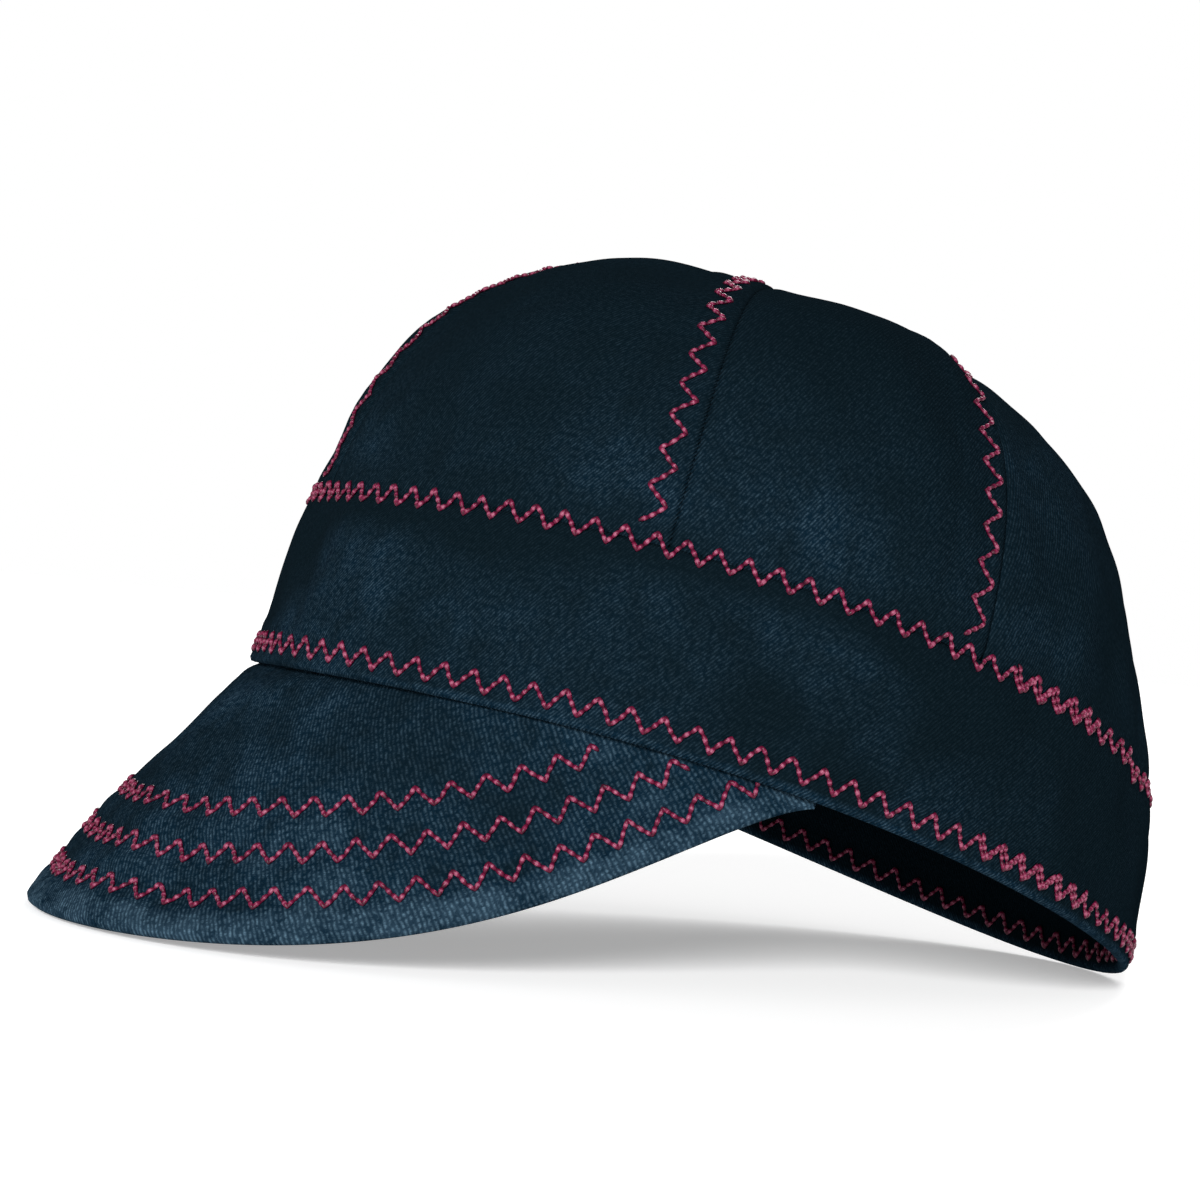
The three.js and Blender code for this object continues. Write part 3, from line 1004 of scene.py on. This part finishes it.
def twill_material(name, across, up, edge, edge_wear_and_highlight, fade, seam, seed):
    """Navy twill whose ribs run square to (across, up) on the cloth. edge is the width that is pale along
    its lower edge, from wear on the peak and a painted highlight on the band's fold, fade is added to its
    wear, and seam is the height of the seam beside which shade is painted."""
    material, tree, shader = new_material(name)
    cloth = tree.nodes.new("ShaderNodeUVMap")
    cloth.uv_map = "cloth"
    place = tree.nodes.new("ShaderNodeTexCoord").outputs["Object"]
    weave = tree.nodes.new("ShaderNodeGroup")
    weave.node_tree = twill_group
    tree.links.new(cloth.outputs["UV"], weave.inputs["Cloth"])
    weave.inputs["Across"].default_value = across
    weave.inputs["Up"].default_value = up

    patches = spread(tree, noise(tree, place, 17.0, 3.0, 0.5, seed), 0.39, 0.76)
    mottle = spread(tree, noise(tree, place, 120.0, 4.0, 0.65), 0.34, 0.70, 0.22, 1.0)
    sides = split(tree, place)
    # painted shade: the cloth is darkened towards the top of the crown and towards the back
    painted_top_shade = spread(tree, sides["Z"], *TOP_SHADE_HEIGHTS, 0.0, DEEPEST_PAINTED_SHADE)
    painted_back_shade = spread(tree, sides["Y"], *BACK_SHADE_DISTANCES, 0.0, DEEPEST_PAINTED_SHADE)
    painted_shade = maths(tree, "MAXIMUM", painted_top_shade, painted_back_shade)
    patches = maths(tree, "MULTIPLY", patches, spread(tree, painted_shade, 0.0, 1.0, 1.0, 0.0))
    height = split(tree, cloth.outputs["UV"])["Y"]
    # pale edge: wear along the peak's edge, a painted highlight along the band's fold
    strip = spread(tree, height, edge, edge * FULL_STRIP, 0.0, edge_wear_and_highlight)
    # painted shade beside the band's upper seam and at the peak's root
    from_seam = maths(tree, "ABSOLUTE", maths(tree, "SUBTRACT", height, seam))
    patches = maths(tree, "MULTIPLY", patches, spread(tree, from_seam, *SEAM_SHADE, SEAM_SHARE, 1.0))
    # the tone mixes wear patches with the painted shade and the pale edge
    tone_with_painted_light = maths(tree, "MAXIMUM", maths(tree, "ADD", patches, fade), strip)
    wear_and_painted_light = maths(tree, "MULTIPLY", tone_with_painted_light, mottle)

    specks = spread(tree, weave.outputs["Slub"], 0.42, 0.66)
    grain = maths(tree, "MULTIPLY", weave.outputs["Rib"], specks)
    shine = maths(tree, "MULTIPLY", grain, spread(tree, wear_and_painted_light, 0.0, 0.85, 0.05, 0.85))
    final = mixed(tree, shine, colour_ramp(tree, wear_and_painted_light, NAVY), RIB_NAVY)
    tree.links.new(final, shader.inputs["Base Color"])
    roughness = spread(tree, weave.outputs["Slub"], 0.2, 0.8, 0.80, 0.97)
    tree.links.new(roughness, shader.inputs["Roughness"])
    add_bump(tree, shader, weave.outputs["Height"], 0.75, WEAVE_RELIEF)
    shader.inputs["Specular IOR Level"].default_value = 0.0
    shader.inputs["Sheen Weight"].default_value = 0.004
    shader.inputs["Sheen Roughness"].default_value = 0.45
    shader.inputs["Sheen Tint"].default_value = (0.42, 0.60, 0.78, 1.0)
    return material


crown_twill, band_twill, peak_twill = (twill_material(*cloth) for cloth in CLOTHS)
for piece in crown_pieces:
    piece.data.materials.append(crown_twill)
band_piece.data.materials.append(band_twill)
peak_piece.data.materials.append(peak_twill)
print("cloth materials:", crown_twill.name, band_twill.name, peak_twill.name)

# %% [markdown]
# ## Thread
#
# The thread is a glossy crimson polyester, so its shader is smoother than the cloth's. A painted highlight
# makes each stitch palest on its crest, and painted shade leaves it deep crimson where it dives into the
# cloth. The stitch map gives both the way along a stitch and a chance value of its own.

# %% Thread material
# from the painted shade at a stitch's ends, through its own crimson, to the painted highlight on its crest
CRIMSON = (
    (0.0, (0.036, 0.0010, 0.010)),
    (0.5, (0.094, 0.0016, 0.020)),
    (0.85, (0.134, 0.0060, 0.035)),
    (1.0, (0.225, 0.0520, 0.094)),
)
PAINTED_HIGHLIGHT_LENGTH = 0.60  # the share of a half stitch over which the painted highlight on its crest fades
STITCH_VARIETY = 0.35
FIBRE_RELIEF = 0.1 * MM
thread, thread_tree, thread_shader = new_material("crimson_thread")
thread_place = thread_tree.nodes.new("ShaderNodeTexCoord").outputs["Object"]
stitch_map = thread_tree.nodes.new("ShaderNodeUVMap")
stitch_map.uv_map = "stitch"
stitch_parts = split(thread_tree, stitch_map.outputs["UV"])
from_middle = spread(thread_tree, stitch_parts["X"], 0.0, 1.0, -1.0, 1.0)
# painted highlight on each stitch's crest; its ends are left in painted shade
painted_crest_highlight = spread(thread_tree, maths(thread_tree, "ABSOLUTE", from_middle), PAINTED_HIGHLIGHT_LENGTH, 0.0)
fuzz = spread(thread_tree, noise(thread_tree, thread_place, 900.0), 0.3, 0.7, -0.3, 0.3)
tone_and_painted_highlight = maths(thread_tree, "ADD", fuzz, painted_crest_highlight)
tone_and_painted_highlight = maths(thread_tree, "MULTIPLY_ADD", stitch_parts["Y"], STITCH_VARIETY, tone_and_painted_highlight)
thread_colour = colour_ramp(thread_tree, tone_and_painted_highlight, CRIMSON)
thread_tree.links.new(thread_colour, thread_shader.inputs["Base Color"])
thread_shader.inputs["Roughness"].default_value = 0.42
thread_shader.inputs["Specular IOR Level"].default_value = 0.25
fibres = noise(thread_tree, thread_place, 5200.0, 1.0)
add_bump(thread_tree, thread_shader, fibres, 0.5, FIBRE_RELIEF)
for piece in seam_pieces:
    piece.data.materials.append(thread)
print(len(seam_pieces), "rows are sewn with", thread.name)

# %% [markdown]
# ## Studio
#
# A plain pale floor, wide enough to run into the white room without a line, carries the cap and its soft
# shadow. The camera stands at the wearer's left front, low and close, as the photograph's did.

# %% Floor
FLOOR_SIZE = 60.0
floor_bm = bmesh.new()
bmesh.ops.create_grid(floor_bm, x_segments=1, y_segments=1, size=FLOOR_SIZE)
floor_mesh = bpy.data.meshes.new("studio_floor")
floor_bm.to_mesh(floor_mesh)
floor_bm.free()
new_object("studio_floor", floor_mesh)
pale, _, pale_shader = new_material("pale_floor")
pale_shader.inputs["Base Color"].default_value = (0.97, 0.97, 0.97, 1.0)
pale_shader.inputs["Emission Color"].default_value = (1.0, 1.0, 1.0, 1.0)
pale_shader.inputs["Emission Strength"].default_value = 0.36
pale_shader.inputs["Roughness"].default_value = 0.95
pale_shader.inputs["Specular IOR Level"].default_value = 0.1
floor_mesh.materials.append(pale)
print("the floor reaches", FLOOR_SIZE, "m each way")

# %% Camera
PHOTO_SIZE = 1200
PHOTO_FOCAL = 2860.0  # in pixels of the photograph
PHOTO_CENTRE = (726.5, 606.6)  # where the aimed point lies in the photograph
AIM_HEIGHT = 46.4 * MM
CAMERA_AHEAD = math.radians(23.2)
CAMERA_LIFT = math.radians(-6.7)
CAMERA_ROLL = math.radians(19.3)
CAMERA_DISTANCE = 618 * MM
SENSOR_WIDTH = 36  # millimetres, as the lens is

toward = np.array([
    math.cos(CAMERA_AHEAD) * math.cos(CAMERA_LIFT),
    -math.sin(CAMERA_AHEAD) * math.cos(CAMERA_LIFT),
    math.sin(CAMERA_LIFT),
]) @ cap_axes
right = np.cross(cap_up, toward)
right /= np.linalg.norm(right)
above = np.cross(toward, right)
rolled_right = math.cos(CAMERA_ROLL) * right + math.sin(CAMERA_ROLL) * above
rolled_up = -math.sin(CAMERA_ROLL) * right + math.cos(CAMERA_ROLL) * above
eye = rim_centre + cap_up * AIM_HEIGHT + toward * CAMERA_DISTANCE
shift_right = PHOTO_SIZE / 2 - PHOTO_CENTRE[0]
shift_up = PHOTO_CENTRE[1] - PHOTO_SIZE / 2
backward = toward * PHOTO_FOCAL - rolled_right * shift_right - rolled_up * shift_up
backward /= np.linalg.norm(backward)
level_right = np.cross(rolled_up, backward)
level_right /= np.linalg.norm(level_right)
camera_data = bpy.data.cameras.new("camera")
camera_data.sensor_width = SENSOR_WIDTH
camera_data.lens = PHOTO_FOCAL / PHOTO_SIZE * SENSOR_WIDTH
camera_data.clip_start = 0.01
camera = new_object("camera", camera_data)
turned = Matrix((level_right, np.cross(backward, level_right), backward)).transposed()
camera.matrix_world = Matrix.Translation(eye) @ turned.to_4x4()
bpy.context.scene.camera = camera
print("camera at", np.round(eye, 3))


# %% Lights
CAP_MIDDLE = (0, 0, 0.07)
ROOM_LIGHT = 0.22  # the camera sees the room as white, but it lights the cap only this much


def add_light(name, kind, place, power, aim=(0, 0, 0)):
    """A light at a place, turned towards what it is aimed at. A sun lights the whole floor alike."""
    data = bpy.data.lights.new(name, kind)
    data.energy = power
    light = new_object(name, data)
    light.location = place
    light.rotation_euler = (Vector(aim) - Vector(place)).to_track_quat("-Z", "Y").to_euler()
    return light


key_light = add_light("key_light", "SUN", (0.78, -0.54, 0.34), 4.1)
key_light.data.angle = math.radians(18)
back_light = add_light("back_light", "SUN", (-0.75, 0.45, 0.55), 2.2)
back_light.data.angle = math.radians(30)
fill_light = add_light("fill_light", "AREA", (1.1, -0.4, 0.35), 3.0, CAP_MIDDLE)
fill_light.data.size = 0.6
world = bpy.data.worlds.new("studio")
world.use_nodes = True
world_tree = world.node_tree
room = world_tree.nodes["Background"]
room.inputs["Color"].default_value = (1.0, 1.0, 1.0, 1.0)
seen = world_tree.nodes.new("ShaderNodeLightPath").outputs["Is Camera Ray"]
world_tree.links.new(spread(world_tree, seen, 0.0, 1.0, ROOM_LIGHT, 1.0), room.inputs["Strength"])
bpy.context.scene.world = world
bpy.context.scene.view_settings.view_transform = "Standard"
print("lights:", key_light.name, back_light.name, fill_light.name)
